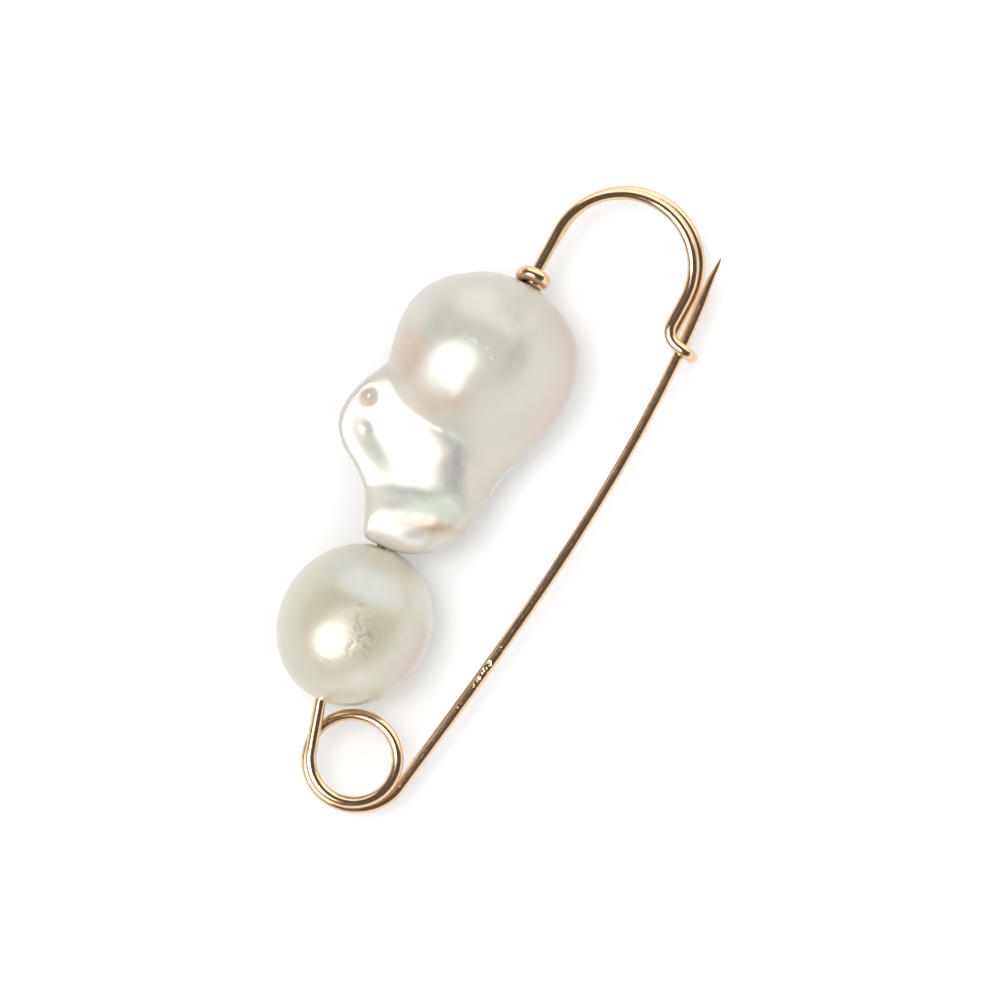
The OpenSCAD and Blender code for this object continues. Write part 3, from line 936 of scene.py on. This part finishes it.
def add_light(
    name, bearing, tilt, away, size, radiance,
    colour=(1, 1, 1), shape="RECTANGLE", diffuse=True, glossy=True,
):
    """A soft light in metres, aimed at the brooch. tilt is its angle from straight above."""
    data = bpy.data.lights.new(name, "AREA")
    data.shape = shape
    data.size, data.size_y = size
    data.color = colour
    data.energy = radiance * np.pi * size[0] * size[1]
    light = bpy.data.objects.new(name, data)
    bpy.context.scene.collection.objects.link(light)
    level = np.sin(np.radians(tilt)) * turn(bearing)
    towards = Vector((*level, np.cos(np.radians(tilt))))
    light.location = towards * away
    light.rotation_mode = "QUATERNION"
    light.rotation_quaternion = towards.to_track_quat("Z", "Y")
    light.visible_camera = False
    light.visible_diffuse = diffuse
    light.visible_glossy = glossy
    return light


def add_world():
    """A dim studio, pale near the ground and dark overhead."""
    world = bpy.data.worlds.new("studio")
    world.use_nodes = True
    tree = world.node_tree
    tree.nodes.clear()
    n = Nodes(tree)
    way = n.add("ShaderNodeTexCoord").outputs["Generated"]
    up = n.add("ShaderNodeSeparateXYZ", {0: way}).outputs["Z"]
    tone = n.ramp(up, 0.0, 0.5, 0.42, 0.1)
    grey = n.add("ShaderNodeCombineColor", {0: tone, 1: tone, 2: tone}).outputs[0]
    light = n.add("ShaderNodeBackground", {"Color": grey, "Strength": 1.0})
    n.add("ShaderNodeOutputWorld", {"Surface": light.outputs[0]})
    bpy.context.scene.world = world


def add_lights():
    add_light("ambient", 0, 0, 2.2, (8.0, 8.0), 1.08, glossy=False)
    add_light("key", 180, 11, 0.9, (0.28, 0.28), 9.5, glossy=False)
    add_light("window", 237, 40, 1.2, (1.1, 1.1), 5.4, shape="ELLIPSE", diffuse=False)
    add_light("far_wall", 95, 63, 1.1, (2.8, 1.2), 1.35, shape="ELLIPSE", diffuse=False)
    add_light("side_wall", -15, 79, 1.1, (2.86, 0.6), 1.1, colour=(0.95, 0.97, 1.0), diffuse=False)


ROSE = rgb(0.62, 0.515, 0.465)
PEACH = rgb(0.55, 0.42, 0.31)
GREEN = rgb(0.36, 0.395, 0.325)
SAGE = rgb(0.34, 0.355, 0.28)
MINT = rgb(0.51, 0.62, 0.51)
DEEP_GREEN = rgb(0.32, 0.38, 0.32)
PURPLE = rgb(0.34, 0.30, 0.35)
COOL = rgb(0.47, 0.49, 0.46)
BROWN = rgb(0.43, 0.27, 0.155)
OLIVE = rgb(0.41, 0.385, 0.26)
PATCH_BROWN = rgb(0.30, 0.25, 0.19)
PALE = rgb(0.68, 0.65, 0.57)

BAROQUE_CREAMS = (rgb(0.59, 0.55, 0.475), rgb(0.57, 0.545, 0.48))
ROUND_CREAMS = (rgb(0.565, 0.53, 0.40), rgb(0.55, 0.53, 0.415))

# Overtones of each pearl, and painted reflection and painted shade: darker where the surface mirrors the dark
# overhead or lies in a crease or dent, lighter where it mirrors a wall or lies in shade. Columns: x, y, half
# length, half width, turn, how much of its reach has the full colour, colour, share of the colour
BAROQUE_TINTS_AND_PAINTED_LIGHT = [
    # Painted dark reflection round the ball's highlight and on its upper right, and painted shade in an arc
    # along its right edge
    [-5.5, 10.8, 5.5, 5.0, 0, 0.2, GREEN, 0.85],
    [-3.2, 14.4, 3.8, 2.0, -22, 0.1, SAGE, 0.95],
    [-1.4, 11.2, 3.6, 1.6, 88, 0.0, SAGE, 0.75],
    # Peach below and left of the ball, an overtone that also stands in for the reflection there
    [-9.4, 7.4, 4.4, 2.6, -55, 0.2, PEACH, 0.95],
    [-6.6, 4.9, 3.4, 1.2, -30, 0.2, PEACH, 0.75],
    [-4.2, 5.8, 3.0, 2.0, 15, 0.0, PEACH, 0.8],
    # Rose on the right side and the top right, an overtone with painted light on that side
    [5.4, 10.0, 8.5, 4.2, 92, 0.7, ROSE, 0.7],
    [1.2, 16.8, 4.5, 3.0, -30, 0.5, ROSE, 0.6],
    [-10.7, 0.8, 1.3, 0.7, 60, 0.2, ROSE, 0.8],
    # Painted shade: green in the large dent, in the crease under the ball and in the valley above the
    # terrace, and green and purple where the crest mirrors the dark overhead
    [-7.8, -0.7, 3.0, 1.5, -30, 0.2, DEEP_GREEN, 0.6],
    [-2.5, 2.4, 3.0, 0.9, -8, 0.2, DEEP_GREEN, 0.85],
    [-0.5, -0.9, 3.0, 1.5, -50, 0.2, DEEP_GREEN, 0.95],
    [-1.4, 1.1, 2.2, 1.4, -60, 0.2, PURPLE, 0.95],
    [-3.4, -2.6, 4.4, 1.0, 20, 0.2, DEEP_GREEN, 0.9],
    # Painted reflection: a mint band along the terrace. Painted shade: purple and brown along the crease
    # above the lip
    [-1.5, -3.2, 3.8, 1.2, 20, 0.3, MINT, 0.8],
    [-4.4, -4.3, 2.0, 0.9, 40, 0.2, PURPLE, 0.6],
    [-1.6, -4.8, 4.4, 1.0, 20, 0.3, BROWN, 1.0],
    [-1.6, -5.8, 2.0, 0.8, 15, 0.2, PURPLE, 0.6],
    [-10.75, 2.6, 1.3, 1.3, 0, 0.2, PEACH, 1.0],
    [-9.6, 0.6, 1.5, 0.8, -50, 0.2, PURPLE, 0.4],
]
ROUND_TINTS_AND_PAINTED_LIGHT = [
    # Painted reflection: a cool pale band near the top where the far wall is mirrored, and sage beside the
    # highlight where the dark overhead is mirrored
    [-3.2, -11.5, 5.0, 2.6, 0, 0.5, COOL, 0.8],
    [-4.4, -13.4, 3.0, 1.3, 25, 0.2, SAGE, 0.7],
    [-5.4, -14.6, 4.6, 2.4, 60, 0.2, OLIVE, 0.6],
    # Rose on the right side, an overtone with painted light on that side
    [4.2, -15.0, 7.5, 3.2, 90, 0.6, ROSE, 0.8],
    # Painted light: pale over the shade and dark reflection next to the baroque pearl, and over the darker
    # lower side
    [1.8, -10.2, 4.4, 2.0, -50, 0.3, PALE, 0.9],
    [-0.4, -19.4, 4.4, 1.6, 30, 0.2, PALE, 0.6],
    [-0.6, -14.6, 3.8, 3.0, 90, 0.3, OLIVE, 0.7],
    [-2.7, -13.3, 0.8, 0.5, 30, 0.2, PATCH_BROWN, 0.7],
]
ROUGH_PLACE = (-1.4, -15.3, 2.3, 3.2, 10, 0.2)

add_camera()
add_floor()
add_world()
add_lights()
gold = gold_material()
stem_wire(gold)
coil_wire(gold)
pin_wire(gold)
baroque_pearl(nacre_material("baroque_nacre", BAROQUE_CREAMS, BAROQUE_TINTS_AND_PAINTED_LIGHT))
round_pearl(nacre_material("round_nacre", ROUND_CREAMS, ROUND_TINTS_AND_PAINTED_LIGHT, ROUGH_PLACE))

bpy.context.scene.view_settings.view_transform = "Standard"
